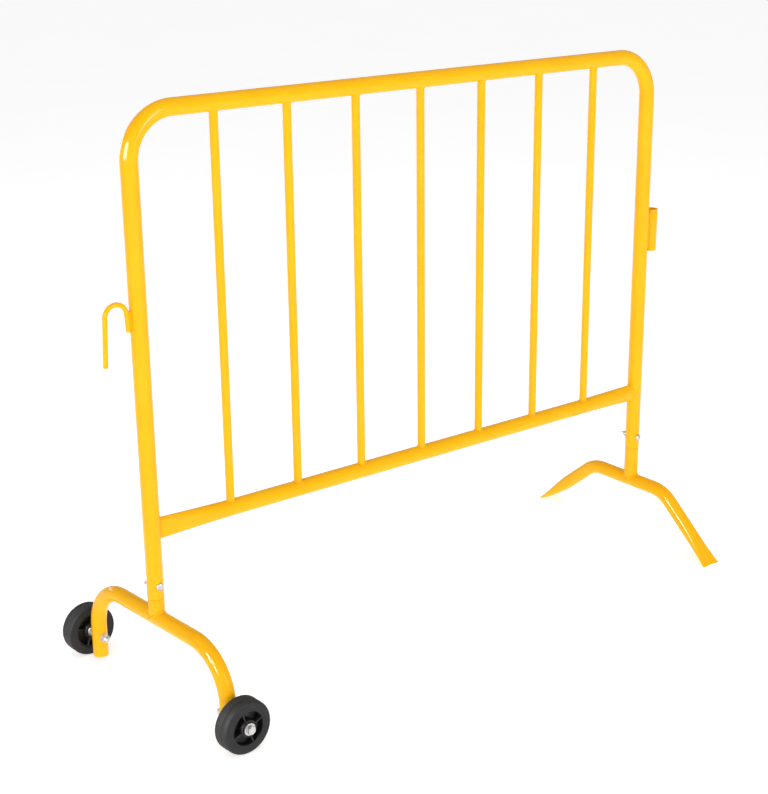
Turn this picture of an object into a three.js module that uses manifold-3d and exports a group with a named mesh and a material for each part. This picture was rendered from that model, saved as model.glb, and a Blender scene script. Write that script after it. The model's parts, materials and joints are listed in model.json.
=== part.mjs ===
// Crowd control barrier: a welded panel of steel tube on two bolted-on feet. The foot at the hook end
// rolls on two wheels, the other one has flattened tips. The hook drops into the socket of the next
// barrier in a row.
//
// Millimetres, +Z up. The origin is on the floor in the middle of the barrier's footprint. +X runs
// along the panel from the hook end to the socket end, and -Y is the front.

import * as THREE from 'three';
import { mergeVertices } from 'three/addons/utils/BufferGeometryUtils.js';
import Module from 'manifold-3d';

const wasm = await Module();
wasm.setup();

// Clearance between pieces that touch on the real barrier.
const GAP = 0.3;

// Panel: one bent hoop, a bottom rail and a row of pickets.
const UPRIGHT_SPACING = 1260;
const TOP_RAIL_Z = 1101;
const BOTTOM_RAIL_Z = 343.5;
const UPRIGHT_END_Z = 209;
const CORNER_RADIUS = 87;
const FRAME_TUBE_RADIUS = 15.875;
const FRAME_TUBE_WALL = 1.6;
const PICKET_COUNT = 7;
const PICKET_PITCH = 154.25;
const FIRST_PICKET_GAP = 170;
const PICKET_RADIUS = 7.95;
const PICKET_WALL = 1.2;

// The ends of the bottom rail are squashed taller and thinner where they are welded to the uprights.
const RAIL_HOOK_END_HEIGHT = 44.5;
const RAIL_SOCKET_END_HEIGHT = 39;
const RAIL_SQUASH_LENGTH = 170;
const RAIL_SQUASH_POWER = 1.3;
const THINNING_PER_GROWTH = 1.27;

// Coupling: a bent rod on one upright and a short tube on the other.
const HOOK_ROD_RADIUS = 4.5;
const HOOK_WIDTH = 49;
const HOOK_TOP_Z = 775;
const HOOK_LONG_LEAN = 3;
const HOOK_SHORT_LEAN = 3.4;
const HOOK_BEND_RADIUS = 21;
const HOOK_LONG_END_Z = 666;
const HOOK_SHORT_END_Z = 722;
const SOCKET_RADIUS = 14;
const SOCKET_WALL = 2;
const SOCKET_LOW_Z = 671;
const SOCKET_HIGH_Z = 764;

// Both feet: a bent arch, a stub welded on it and a spigot that slides up into the upright.
const FOOT_TUBE_RADIUS = 15.4;
const FOOT_TUBE_WALL = 1.4;
const SPIGOT_RADIUS = 13.7;
const SPIGOT_WALL = 1.8;
const SPIGOT_TOP_Z = 275;
const SPIGOT_HOLE_RADIUS = 4.6;

// Wheel foot. It sits a few degrees off square, as far as its bolt lets it.
const WHEEL_FOOT_TURN = 4;
const WHEEL_ARCH_Z = 168.5;
const WHEEL_LEG_REACH = 213.5;
const WHEEL_LEG_END_Z = 9.5;
const WHEEL_BEND_RADIUS = 95;

// Plain foot. Its stub stands a little in front of the middle of the arch, and its front leg is steeper.
const PLAIN_ARCH_Z = 129.5;
const PLAIN_ARCH_SHIFT = 8;
const PLAIN_CORNER_REACH = 109;
const PLAIN_FRONT_SLOPE = 40.5;
const PLAIN_BACK_SLOPE = 39;
const PLAIN_BEND_RADIUS = 78;
const FLATTENED_LENGTH = 105;
const TIP_WIDTH = 49;
const TIP_THICKNESS = 6;
const TIP_SLIT = 1.2;
const FLATTENING_POWER = 1.8;

// Foot bolts: round-headed bolts with wing nuts.
const FOOT_BOLT_Z = 236;
const FOOT_BOLT_RADIUS = 3.1;
const FOOT_BOLT_HOLE_RADIUS = 3.8;
const FOOT_BOLT_HEAD_RADIUS = 7;
const FOOT_BOLT_HEAD_HEIGHT = 5;
const FOOT_BOLT_TIP_Y = 31;
const WING_WASHER_RADIUS = 8;
const WING_WASHER_THICKNESS = 1.5;
const WING_NUT_BASE_RADIUS = 5.8;
const WING_NUT_NECK_RADIUS = 4.8;
const WING_NUT_BASE_HEIGHT = 7;
const WING_TIP_RADIUS = 3;
const WING_TIP_REACH = 8.5;
const WING_TIP_HEIGHT = 13;
const WING_THICKNESS = 2.4;
const WHEEL_WING_NUT_TURN = -65;
const PLAIN_WING_NUT_TURN = 8;

// Wheels and their axle bolts. Distances out are measured from the foot's middle.
const WHEEL_RADIUS = 51;
const WHEEL_WIDTH = 34;
const TREAD_GROOVE = 3.2;
const WHEEL_OUT = 257.5;
const HUB_RADIUS = 34;
const HUB_OPENING_RADIUS = 30.5;
const HUB_BOSS_RADIUS = 16.5;
const HUB_BOSS_LENGTH = 35;
const HUB_WEB_THICKNESS = 4;
const RIB_THICKNESS = 2.4;
const RIB_COUNT = 4;
const RIB_TURN = 70;
const SLEEVE_RADIUS = 6.6;
const SLEEVE_LENGTH = 35.6;
const AXLE_RADIUS = 4.75;
const AXLE_HOLE_RADIUS = 5.4;
const AXLE_TIP_OUT = 183;
const HEX_ACROSS_FLATS = 14.3;
const HEX_HEAD_HEIGHT = 6.4;
const JAM_NUT_HEIGHT = 6;
const LOCK_NUT_HEIGHT = 9.6;
const WHEEL_WASHER_RADIUS = 11.5;
const WHEEL_WASHER_THICKNESS = 2;
const LEG_WASHER_RADIUS = 9;
const LEG_WASHER_THICKNESS = 1.6;

const UPRIGHT_X = UPRIGHT_SPACING / 2;
const HOOK_REACH = FRAME_TUBE_RADIUS + GAP + HOOK_WIDTH + 2 * HOOK_ROD_RADIUS;
const SOCKET_REACH = FRAME_TUBE_RADIUS + GAP + 2 * SOCKET_RADIUS;
const PANEL_MIDDLE_X = (HOOK_REACH - SOCKET_REACH) / 2;

const POWDER_COAT = { color: 0xffc20e, roughness: 0.28, metalness: 0 };
const ZINC = { color: 0xc9ccca, roughness: 0.35, metalness: 1 };
const RUBBER = { color: 0x3a3a3c, roughness: 0.7, metalness: 0 };
const PLASTIC = { color: 0x1d1d1e, roughness: 0.5, metalness: 0 };

const radians = THREE.MathUtils.degToRad;

// ---- Solids ---------------------------------------------------------------------------------

function welded(geometry) {
  const bare = geometry.clone();
  bare.deleteAttribute('normal');
  bare.deleteAttribute('uv');
  return mergeVertices(bare, 1e-4);
}

function solidOf(geometry) {
  const closed = welded(geometry);
  return new wasm.Manifold(new wasm.Mesh({
    numProp: 3,
    vertProperties: new Float32Array(closed.attributes.position.array),
    triVerts: new Uint32Array(closed.index.array),
  }));
}

function geometryOf(solid) {
  const mesh = solid.getMesh();
  const geometry = new THREE.BufferGeometry();
  geometry.setAttribute('position', new THREE.BufferAttribute(mesh.vertProperties, 3));
  geometry.setIndex(new THREE.BufferAttribute(mesh.triVerts, 1));
  geometry.computeVertexNormals();
  return geometry;
}

function joined(geometries) {
  return geometryOf(geometries.map(solidOf).reduce((sum, next) => sum.add(next)));
}

function cutFrom(geometry, cutters) {
  return geometryOf(cutters.map(solidOf).reduce((rest, cutter) => rest.subtract(cutter), solidOf(geometry)));
}

// A rod of the given radius, centred on the origin, along X, Y or Z.
function rod(radius, length, axis, sides = 16) {
  const geometry = new THREE.CylinderGeometry(radius, radius, length, sides);
  if (axis === 'x') geometry.rotateZ(Math.PI / 2);
  if (axis === 'z') geometry.rotateX(Math.PI / 2);
  return geometry;
}

// ---- Sections and tubes ---------------------------------------------------------------------

function circlePoints(radius, sides) {
  const points = [];
  for (let i = 0; i < sides; i += 1) {
    const angle = (2 * Math.PI * i) / sides;
    points.push(new THREE.Vector2(radius * Math.cos(angle), radius * Math.sin(angle)));
  }
  return points;
}

function ringShape(outline, boreRadius, boreSides) {
  const shape = new THREE.Shape(outline);
  if (boreRadius > 0) shape.holes.push(new THREE.Path(circlePoints(boreRadius, boreSides)));
  return shape;
}

// A straight prism along Z, from z = 0 to the given length, with a round bore.
function boredPrism(outline, boreRadius, length, boreSides) {
  const shape = ringShape(outline, boreRadius, boreSides);
  return new THREE.ExtrudeGeometry(shape, { depth: length, bevelEnabled: false });
}

function straightTube(radius, wall, length, sides, boreSides = 16) {
  return boredPrism(circlePoints(radius, sides), radius - wall, length, boreSides);
}

// The same prism along Y, from y = 0 to the given length.
function boredPrismY(outline, boreRadius, length, boreSides) {
  return boredPrism(outline, boreRadius, length, boreSides).rotateX(-Math.PI / 2);
}

function hexagon(acrossFlats) {
  return circlePoints(acrossFlats / Math.sqrt(3), 6);
}

function direction(from, to) {
  return to.clone().sub(from).normalize();
}

// A line through the given corners, each rounded to the bend radius, as points with tangents.
function bentStations(corners, bendRadius, bendSteps) {
  const last = corners.length - 1;
  const stations = [{ point: corners[0], tangent: direction(corners[0], corners[1]) }];
  for (let i = 1; i < last; i += 1) {
    const incoming = direction(corners[i - 1], corners[i]);
    const outgoing = direction(corners[i], corners[i + 1]);
    const turn = incoming.angleTo(outgoing);
    if (turn < 1e-6) {
      stations.push({ point: corners[i], tangent: incoming });
    } else {
      const axis = incoming.clone().cross(outgoing).normalize();
      const inward = axis.clone().cross(incoming);
      const start = corners[i].clone().addScaledVector(incoming, -bendRadius * Math.tan(turn / 2));
      const centre = start.addScaledVector(inward, bendRadius);
      for (let k = 0; k <= bendSteps; k += 1) {
        const angle = (turn * k) / bendSteps;
        const spoke = inward.clone().negate().applyAxisAngle(axis, angle);
        stations.push({
          point: centre.clone().addScaledVector(spoke, bendRadius),
          tangent: incoming.clone().applyAxisAngle(axis, angle),
        });
      }
    }
  }
  stations.push({ point: corners[last], tangent: direction(corners[last - 1], corners[last]) });
  return stations;
}

// A flat route for an extrusion, with one section at each station.
class BentRoute extends THREE.Curve {
  constructor(stations, planeNormal) {
    super();
    this.stations = stations;
    this.planeNormal = planeNormal;
  }

  getSpacedPoints() {
    return this.stations.map((station) => station.point.clone());
  }

  computeFrenetFrames() {
    const tangents = this.stations.map((station) => station.tangent);
    return {
      tangents,
      normals: tangents.map((tangent) => this.planeNormal.clone().cross(tangent)),
      binormals: tangents.map(() => this.planeNormal),
    };
  }
}

function bentTube(shape, stations, planeNormal) {
  const extrudePath = new BentRoute(stations, planeNormal);
  return new THREE.ExtrudeGeometry(shape, { steps: stations.length - 1, extrudePath });
}

// A geometry with each of its points moved by the given function.
function reshaped(geometry, move) {
  const positions = geometry.attributes.position;
  for (let i = 0; i < positions.count; i += 1) {
    const point = new THREE.Vector3().fromBufferAttribute(positions, i);
    move(point);
    positions.setXYZ(i, point.x, point.y, point.z);
  }
  return geometry;
}

// A turned solid about the Y axis. The profile is a list of [radius, y] that goes up the outside.
function turned(profile, segments) {
  return new THREE.LatheGeometry(profile.map(([radius, y]) => new THREE.Vector2(radius, y)), segments);
}

// ---- Scene helpers --------------------------------------------------------------------------

function piece(name, geometry, finish) {
  const mesh = new THREE.Mesh(geometry, new THREE.MeshStandardMaterial(finish));
  mesh.name = name;
  return mesh;
}

function placed(object, x, y, z) {
  object.position.set(x, y, z);
  return object;
}

// ---- Panel ----------------------------------------------------------------------------------

const X_AXIS = new THREE.Vector3(1, 0, 0);
const Y_AXIS = new THREE.Vector3(0, 1, 0);

function frameHoop() {
  const corners = [
    new THREE.Vector3(-UPRIGHT_X, 0, UPRIGHT_END_Z),
    new THREE.Vector3(-UPRIGHT_X, 0, TOP_RAIL_Z),
    new THREE.Vector3(UPRIGHT_X, 0, TOP_RAIL_Z),
    new THREE.Vector3(UPRIGHT_X, 0, UPRIGHT_END_Z),
  ];
  const bore = FRAME_TUBE_RADIUS - FRAME_TUBE_WALL;
  const section = ringShape(circlePoints(FRAME_TUBE_RADIUS, 20), bore, 16);
  const hoop = bentTube(section, bentStations(corners, CORNER_RADIUS, 6), Y_AXIS);
  const holes = [-UPRIGHT_X, UPRIGHT_X].map((x) => (
    rod(FOOT_BOLT_HOLE_RADIUS, 4 * FRAME_TUBE_RADIUS, 'y', 12).translate(x, 0, FOOT_BOLT_Z)));
  return piece('frame_hoop', cutFrom(hoop, holes), POWDER_COAT);
}

// Squashes a point of the bottom rail's tube, whose ends are on the uprights' axes.
function squashRail(point) {
  const fromEnd = UPRIGHT_X - Math.abs(point.x);
  const endHeight = point.x < 0 ? RAIL_HOOK_END_HEIGHT : RAIL_SOCKET_END_HEIGHT;
  const amount = Math.max(1 - fromEnd / RAIL_SQUASH_LENGTH, 0) ** RAIL_SQUASH_POWER;
  const growth = (endHeight / 2 - FRAME_TUBE_RADIUS) * amount;
  const inBore = Math.hypot(point.y, point.z) < FRAME_TUBE_RADIUS - FRAME_TUBE_WALL / 2;
  const radius = inBore ? FRAME_TUBE_RADIUS - FRAME_TUBE_WALL : FRAME_TUBE_RADIUS;
  point.z *= 1 + growth / radius;
  point.y *= 1 - (THINNING_PER_GROWTH * growth) / radius;
}

function bottomRail() {
  const squashed = [0, 0.12, 0.28, 0.46, 0.7, 1].map((share) => share * RAIL_SQUASH_LENGTH - UPRIGHT_X);
  const stations = [...squashed, ...squashed.toReversed().map((x) => -x)].map((x) => (
    { point: new THREE.Vector3(x, 0, 0), tangent: X_AXIS }));
  const section = ringShape(circlePoints(FRAME_TUBE_RADIUS, 20), FRAME_TUBE_RADIUS - FRAME_TUBE_WALL, 16);
  const tube = reshaped(bentTube(section, stations, Y_AXIS), squashRail);
  const uprights = [-UPRIGHT_X, UPRIGHT_X].map((x) => (
    rod(FRAME_TUBE_RADIUS + GAP, 4 * FRAME_TUBE_RADIUS, 'z', 20).translate(x, 0, 0)));
  return placed(piece('bottom_rail', cutFrom(tube, uprights), POWDER_COAT), 0, 0, BOTTOM_RAIL_Z);
}

function pickets() {
  const height = TOP_RAIL_Z - BOTTOM_RAIL_Z;
  const tube = straightTube(PICKET_RADIUS, PICKET_WALL, height, 12, 8);
  const rails = [0, height].map((z) => (
    rod(FRAME_TUBE_RADIUS + GAP, 4 * FRAME_TUBE_RADIUS, 'x', 20).translate(0, 0, z)));
  const geometry = cutFrom(tube, rails);
  return Array.from({ length: PICKET_COUNT }, (unused, i) => placed(
    piece(`picket_${i + 1}`, geometry.clone(), POWDER_COAT),
    FIRST_PICKET_GAP + i * PICKET_PITCH - UPRIGHT_X, 0, BOTTOM_RAIL_Z));
}

// The hook's legs lean towards each other, so it is widest at its open end.
function couplingHook() {
  const shortX = -UPRIGHT_X - FRAME_TUBE_RADIUS - 2 * GAP - HOOK_ROD_RADIUS;
  const longX = -UPRIGHT_X - HOOK_REACH + HOOK_ROD_RADIUS;
  const onLong = (z) => new THREE.Vector3(
    longX + (z - HOOK_LONG_END_Z) * Math.tan(radians(HOOK_LONG_LEAN)), 0, z);
  const onShort = (z) => new THREE.Vector3(
    shortX - (z - HOOK_SHORT_END_Z) * Math.tan(radians(HOOK_SHORT_LEAN)), 0, z);
  const corners = [
    onLong(HOOK_LONG_END_Z - 2 * HOOK_ROD_RADIUS),
    onLong(HOOK_TOP_Z),
    onShort(HOOK_TOP_Z),
    onShort(HOOK_SHORT_END_Z),
  ];
  const section = new THREE.Shape(circlePoints(HOOK_ROD_RADIUS, 12));
  const rodSolid = bentTube(section, bentStations(corners, HOOK_BEND_RADIUS, 5), Y_AXIS);
  const below = new THREE.BoxGeometry(200, 200, 100).translate(longX, 0, HOOK_LONG_END_Z - 50);
  return piece('coupling_hook', cutFrom(rodSolid, [below]), POWDER_COAT);
}

function couplingSocket() {
  const tube = straightTube(SOCKET_RADIUS, SOCKET_WALL, SOCKET_HIGH_Z - SOCKET_LOW_Z, 16, 16);
  const x = UPRIGHT_X + FRAME_TUBE_RADIUS + GAP + SOCKET_RADIUS;
  return placed(piece('coupling_socket', tube, POWDER_COAT), x, 0, SOCKET_LOW_Z);
}

function panel() {
  const group = new THREE.Group();
  group.add(frameHoop(), bottomRail(), ...pickets(), couplingHook(), couplingSocket());
  return group;
}

// ---- Feet -----------------------------------------------------------------------------------

function footSection() {
  return ringShape(circlePoints(FOOT_TUBE_RADIUS, 16), FOOT_TUBE_RADIUS - FOOT_TUBE_WALL, 12);
}

// The stub's lower end is shaped to sit on the arch.
function footStub(name, archZ) {
  const tube = straightTube(FOOT_TUBE_RADIUS, FOOT_TUBE_WALL, UPRIGHT_END_Z - GAP - archZ, 16);
  const arch = rod(FOOT_TUBE_RADIUS + GAP, 4 * FOOT_TUBE_RADIUS, 'y', 16);
  return placed(piece(name, cutFrom(tube, [arch]), POWDER_COAT), 0, 0, archZ);
}

function footSpigot(name, archZ) {
  const lowZ = archZ + FOOT_TUBE_RADIUS + 2 * GAP;
  const tube = straightTube(SPIGOT_RADIUS, SPIGOT_WALL, SPIGOT_TOP_Z - lowZ, 16);
  const hole = rod(SPIGOT_HOLE_RADIUS, 4 * SPIGOT_RADIUS, 'y', 12).translate(0, 0, FOOT_BOLT_Z - lowZ);
  return placed(piece(name, cutFrom(tube, [hole]), ZINC), 0, 0, lowZ);
}

function wheelArch() {
  const corners = [
    new THREE.Vector3(0, -WHEEL_LEG_REACH, WHEEL_LEG_END_Z),
    new THREE.Vector3(0, -WHEEL_LEG_REACH, WHEEL_ARCH_Z),
    new THREE.Vector3(0, WHEEL_LEG_REACH, WHEEL_ARCH_Z),
    new THREE.Vector3(0, WHEEL_LEG_REACH, WHEEL_LEG_END_Z),
  ];
  const tube = bentTube(footSection(), bentStations(corners, WHEEL_BEND_RADIUS, 6), X_AXIS);
  const axleHole = rod(AXLE_HOLE_RADIUS, 2 * WHEEL_OUT, 'y', 12).translate(0, 0, WHEEL_RADIUS);
  return piece('wheel_foot_arch', cutFrom(tube, [axleHole]), POWDER_COAT);
}

// The slope of a leg of the plain foot. The side is -1 in front and 1 behind.
function plainSlope(side) {
  return radians(side < 0 ? PLAIN_FRONT_SLOPE : PLAIN_BACK_SLOPE);
}

function plainTipY(side) {
  return PLAIN_ARCH_SHIFT + side * (PLAIN_CORNER_REACH + PLAIN_ARCH_Z / Math.tan(plainSlope(side)));
}

// Squashes a point of the plain foot's tube into the flat tip that its leg ends in.
function flattenTip(point) {
  const side = Math.sign(point.y - PLAIN_ARCH_SHIFT);
  const slope = plainSlope(side);
  const tipY = plainTipY(side);
  const along = new THREE.Vector3(0, side * Math.cos(slope), -Math.sin(slope));
  const across = new THREE.Vector3(0, side * Math.sin(slope), Math.cos(slope));
  const fromTip = point.clone().sub(new THREE.Vector3(0, tipY, 0));
  const progress = 1 + fromTip.dot(along) / FLATTENED_LENGTH;
  if (progress <= 0) return;
  const amount = Math.min(progress, 1) ** FLATTENING_POWER;
  const height = fromTip.dot(across);
  const boreRadius = FOOT_TUBE_RADIUS - FOOT_TUBE_WALL;
  const inBore = Math.hypot(height, point.x) < FOOT_TUBE_RADIUS - FOOT_TUBE_WALL / 2;
  const radius = inBore ? boreRadius : FOOT_TUBE_RADIUS;
  const halfThickness = inBore ? TIP_SLIT / 2 : TIP_THICKNESS / 2;
  const halfWidth = inBore ? TIP_WIDTH / 2 - FOOT_TUBE_WALL : TIP_WIDTH / 2;
  const squash = THREE.MathUtils.lerp(1, halfThickness / radius, amount);
  point.addScaledVector(across, height * (squash - 1));
  point.x *= THREE.MathUtils.lerp(1, halfWidth / radius, amount);
}

function plainArch() {
  const overrun = 8;
  const onLeg = (side, fromTip) => new THREE.Vector3(
    0,
    plainTipY(side) - side * fromTip * Math.cos(plainSlope(side)),
    fromTip * Math.sin(plainSlope(side)));
  const corner = (side) => new THREE.Vector3(0, PLAIN_ARCH_SHIFT + side * PLAIN_CORNER_REACH, PLAIN_ARCH_Z);
  const flattened = [1, 0.82, 0.64, 0.46, 0.3, 0.15, 0].map((share) => share * FLATTENED_LENGTH);
  const corners = [
    onLeg(-1, -overrun),
    ...flattened.toReversed().map((fromTip) => onLeg(-1, fromTip)),
    corner(-1),
    corner(1),
    ...flattened.map((fromTip) => onLeg(1, fromTip)),
    onLeg(1, -overrun),
  ];
  const stations = bentStations(corners, PLAIN_BEND_RADIUS, 5);
  const tube = reshaped(bentTube(footSection(), stations, X_AXIS), flattenTip);
  const floor = new THREE.BoxGeometry(200, 1000, 100).translate(0, 0, -50);
  return piece('plain_foot_arch', cutFrom(tube, [floor]), POWDER_COAT);
}

// ---- Foot bolts -----------------------------------------------------------------------------

function footBolt(name) {
  const headY = -FRAME_TUBE_RADIUS - GAP;
  const dome = [[1, 0], [1, 0.45], [0.93, 0.75], [0.72, 0.94], [0, 1]].map(([across, up]) => (
    [across * FOOT_BOLT_HEAD_RADIUS, headY - up * FOOT_BOLT_HEAD_HEIGHT]));
  const shank = [[FOOT_BOLT_RADIUS, headY], [FOOT_BOLT_RADIUS, FOOT_BOLT_TIP_Y], [0, FOOT_BOLT_TIP_Y]];
  return piece(name, turned([...dome.reverse(), ...shank], 12), ZINC);
}

function wingWasher(name) {
  const outline = circlePoints(WING_WASHER_RADIUS, 12);
  const geometry = boredPrismY(outline, FOOT_BOLT_RADIUS + GAP, WING_WASHER_THICKNESS, 12);
  return placed(piece(name, geometry, ZINC), 0, FRAME_TUBE_RADIUS + GAP, 0);
}

function wingOutline() {
  const shape = new THREE.Shape();
  shape.moveTo(0, 0.8);
  shape.lineTo(WING_NUT_BASE_RADIUS - 0.4, 1.2);
  shape.lineTo(WING_TIP_REACH + WING_TIP_RADIUS, WING_TIP_HEIGHT);
  shape.absarc(WING_TIP_REACH, WING_TIP_HEIGHT, WING_TIP_RADIUS, 0, Math.PI, false);
  shape.lineTo(WING_NUT_NECK_RADIUS, WING_NUT_BASE_HEIGHT - 0.5);
  shape.lineTo(0, WING_NUT_BASE_HEIGHT - 0.5);
  return shape;
}

function wingNut(name, turn) {
  const base = turned([
    [0, 0], [WING_NUT_BASE_RADIUS, 0], [WING_NUT_NECK_RADIUS, WING_NUT_BASE_HEIGHT], [0, WING_NUT_BASE_HEIGHT],
  ], 12);
  const wing = new THREE.ExtrudeGeometry(wingOutline(), {
    depth: WING_THICKNESS, bevelEnabled: false, curveSegments: 3,
  }).translate(0, 0, -WING_THICKNESS / 2);
  const bore = rod(FOOT_BOLT_RADIUS + GAP, 4 * WING_NUT_BASE_HEIGHT, 'y', 12);
  const solid = joined([base, wing, wing.clone().rotateY(Math.PI)]);
  const nut = piece(name, cutFrom(solid, [bore]), ZINC);
  nut.rotation.y = radians(turn);
  return placed(nut, 0, FRAME_TUBE_RADIUS + WING_WASHER_THICKNESS + 2 * GAP, 0);
}

function footBoltSet(foot, wingNutTurn) {
  const group = new THREE.Group();
  group.add(
    footBolt(`${foot}_bolt`),
    wingWasher(`${foot}_wing_washer`),
    wingNut(`${foot}_wing_nut`, wingNutTurn));
  return group;
}

// ---- Wheels ---------------------------------------------------------------------------------

function tyre(name) {
  const half = WHEEL_WIDTH / 2;
  const inner = HUB_RADIUS + GAP;
  const profile = [
    [inner, -half + 1.5],
    [HUB_RADIUS + 3, -half],
    [WHEEL_RADIUS - 2.5, -half],
    [WHEEL_RADIUS, -half + 2],
    [WHEEL_RADIUS, TREAD_GROOVE - 0.2],
    [WHEEL_RADIUS - 1.6, TREAD_GROOVE],
    [WHEEL_RADIUS - 1.6, TREAD_GROOVE + 0.8],
    [WHEEL_RADIUS, TREAD_GROOVE + 1],
    [WHEEL_RADIUS - 0.4, half - 5],
    [WHEEL_RADIUS - 3, half - 1.2],
    [WHEEL_RADIUS - 8, half],
    [HUB_RADIUS + 3, half],
    [inner, half - 1.5],
    [inner, -half + 1.5],
  ];
  return piece(name, turned(profile, 28), RUBBER);
}

// Both faces are hollowed down to a web, and ribs cross the hollow from the boss to the rim.
function hub(name) {
  const half = WHEEL_WIDTH / 2 - 1;
  const web = HUB_WEB_THICKNESS / 2;
  const boss = HUB_BOSS_LENGTH / 2;
  const bore = SLEEVE_RADIUS + GAP;
  const profile = [
    [bore, -boss], [HUB_BOSS_RADIUS, -boss], [HUB_BOSS_RADIUS, -web], [HUB_OPENING_RADIUS, -web],
    [HUB_OPENING_RADIUS, -half], [HUB_RADIUS, -half], [HUB_RADIUS, half], [HUB_OPENING_RADIUS, half],
    [HUB_OPENING_RADIUS, web], [HUB_BOSS_RADIUS, web], [HUB_BOSS_RADIUS, boss], [bore, boss],
    [bore, -boss],
  ];
  const ribLength = HUB_OPENING_RADIUS - HUB_BOSS_RADIUS + 4;
  const ribs = Array.from({ length: RIB_COUNT }, (unused, i) => (
    new THREE.BoxGeometry(ribLength, 2 * half - 4, RIB_THICKNESS)
      .translate((HUB_OPENING_RADIUS + HUB_BOSS_RADIUS) / 2, 0, 0)
      .rotateY((2 * Math.PI * i) / RIB_COUNT)));
  const mesh = piece(name, joined([turned(profile, 24), ...ribs]), PLASTIC);
  mesh.rotation.y = radians(-RIB_TURN);
  return mesh;
}

function axleBolt(name, headOut) {
  const head = new THREE.ExtrudeGeometry(new THREE.Shape(hexagon(HEX_ACROSS_FLATS)), {
    depth: HEX_HEAD_HEIGHT, bevelEnabled: false,
  }).rotateX(-Math.PI / 2);
  const length = headOut + 1 - AXLE_TIP_OUT;
  const shank = rod(AXLE_RADIUS, length, 'y', 12).translate(0, 1 - length / 2, 0);
  return placed(piece(name, joined([head, shank]), ZINC), 0, headOut, 0);
}

function axleRing(name, outline, boreRadius, thickness, out) {
  return placed(piece(name, boredPrismY(outline, boreRadius, thickness, 12), ZINC), 0, out, 0);
}

// One wheel with its axle bolt, in the order in which the pieces sit on the bolt.
function wheelSet(name) {
  const bore = AXLE_RADIUS + GAP;
  const hex = hexagon(HEX_ACROSS_FLATS);
  const legOuter = WHEEL_LEG_REACH + FOOT_TUBE_RADIUS;
  const legInner = WHEEL_LEG_REACH - FOOT_TUBE_RADIUS;
  const legWasher = circlePoints(LEG_WASHER_RADIUS, 16);
  const wheelWasher = circlePoints(WHEEL_WASHER_RADIUS, 16);
  const legWasherOut = legOuter + GAP;
  const jamNutOut = legWasherOut + LEG_WASHER_THICKNESS + GAP;
  const innerWasherOut = jamNutOut + JAM_NUT_HEIGHT + GAP;
  const sleeveOut = innerWasherOut + WHEEL_WASHER_THICKNESS + GAP;
  const headWasherOut = sleeveOut + SLEEVE_LENGTH + GAP;
  const headOut = headWasherOut + WHEEL_WASHER_THICKNESS + GAP;
  const lockWasherOut = legInner - GAP - LEG_WASHER_THICKNESS;
  const lockNutOut = lockWasherOut - GAP - LOCK_NUT_HEIGHT;
  const group = new THREE.Group();
  group.add(
    placed(tyre(`${name}_tyre`), 0, WHEEL_OUT, 0),
    placed(hub(`${name}_hub`), 0, WHEEL_OUT, 0),
    axleRing(`${name}_sleeve`, circlePoints(SLEEVE_RADIUS, 16), bore, SLEEVE_LENGTH, sleeveOut),
    axleBolt(`${name}_axle_bolt`, headOut),
    axleRing(`${name}_head_washer`, wheelWasher, bore, WHEEL_WASHER_THICKNESS, headWasherOut),
    axleRing(`${name}_inner_washer`, wheelWasher, bore, WHEEL_WASHER_THICKNESS, innerWasherOut),
    axleRing(`${name}_jam_nut`, hex, bore, JAM_NUT_HEIGHT, jamNutOut),
    axleRing(`${name}_leg_washer`, legWasher, bore, LEG_WASHER_THICKNESS, legWasherOut),
    axleRing(`${name}_lock_washer`, legWasher, bore, LEG_WASHER_THICKNESS, lockWasherOut),
    axleRing(`${name}_lock_nut`, hex, bore, LOCK_NUT_HEIGHT, lockNutOut));
  return group;
}

// ---- Assembly -------------------------------------------------------------------------------

function wheelFoot() {
  const backWheel = placed(wheelSet('back_wheel'), 0, 0, WHEEL_RADIUS);
  const frontWheel = placed(wheelSet('front_wheel'), 0, 0, WHEEL_RADIUS);
  frontWheel.rotation.z = Math.PI;
  const group = new THREE.Group();
  group.add(
    wheelArch(),
    footStub('wheel_foot_stub', WHEEL_ARCH_Z),
    footSpigot('wheel_foot_spigot', WHEEL_ARCH_Z),
    backWheel,
    frontWheel);
  group.rotation.z = radians(WHEEL_FOOT_TURN);
  return group;
}

function plainFoot() {
  const group = new THREE.Group();
  group.add(
    plainArch(),
    footStub('plain_foot_stub', PLAIN_ARCH_Z),
    footSpigot('plain_foot_spigot', PLAIN_ARCH_Z));
  return group;
}

const barrier = new THREE.Group();
barrier.add(
  panel(),
  placed(wheelFoot(), -UPRIGHT_X, 0, 0),
  placed(plainFoot(), UPRIGHT_X, 0, 0),
  placed(footBoltSet('wheel_foot', WHEEL_WING_NUT_TURN), -UPRIGHT_X, 0, FOOT_BOLT_Z),
  placed(footBoltSet('plain_foot', PLAIN_WING_NUT_TURN), UPRIGHT_X, 0, FOOT_BOLT_Z));
barrier.position.x = PANEL_MIDDLE_X;

export default barrier;
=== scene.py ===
import json
import math

import bmesh
import bpy
from mathutils import Matrix, Vector, noise


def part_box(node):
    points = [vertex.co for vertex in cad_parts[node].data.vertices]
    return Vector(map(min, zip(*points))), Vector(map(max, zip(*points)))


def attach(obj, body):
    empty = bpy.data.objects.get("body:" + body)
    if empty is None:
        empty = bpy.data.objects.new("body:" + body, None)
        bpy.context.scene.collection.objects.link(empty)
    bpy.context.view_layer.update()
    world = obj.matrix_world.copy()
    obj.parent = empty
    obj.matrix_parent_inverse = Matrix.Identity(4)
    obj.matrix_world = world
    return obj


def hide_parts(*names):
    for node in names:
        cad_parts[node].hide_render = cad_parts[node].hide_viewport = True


# The crowd control barrier's looks: every CAD node is replaced by a finer piece in the same place, and the
# welds are added. Lengths are metres, and MM turns millimetres into them.

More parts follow.
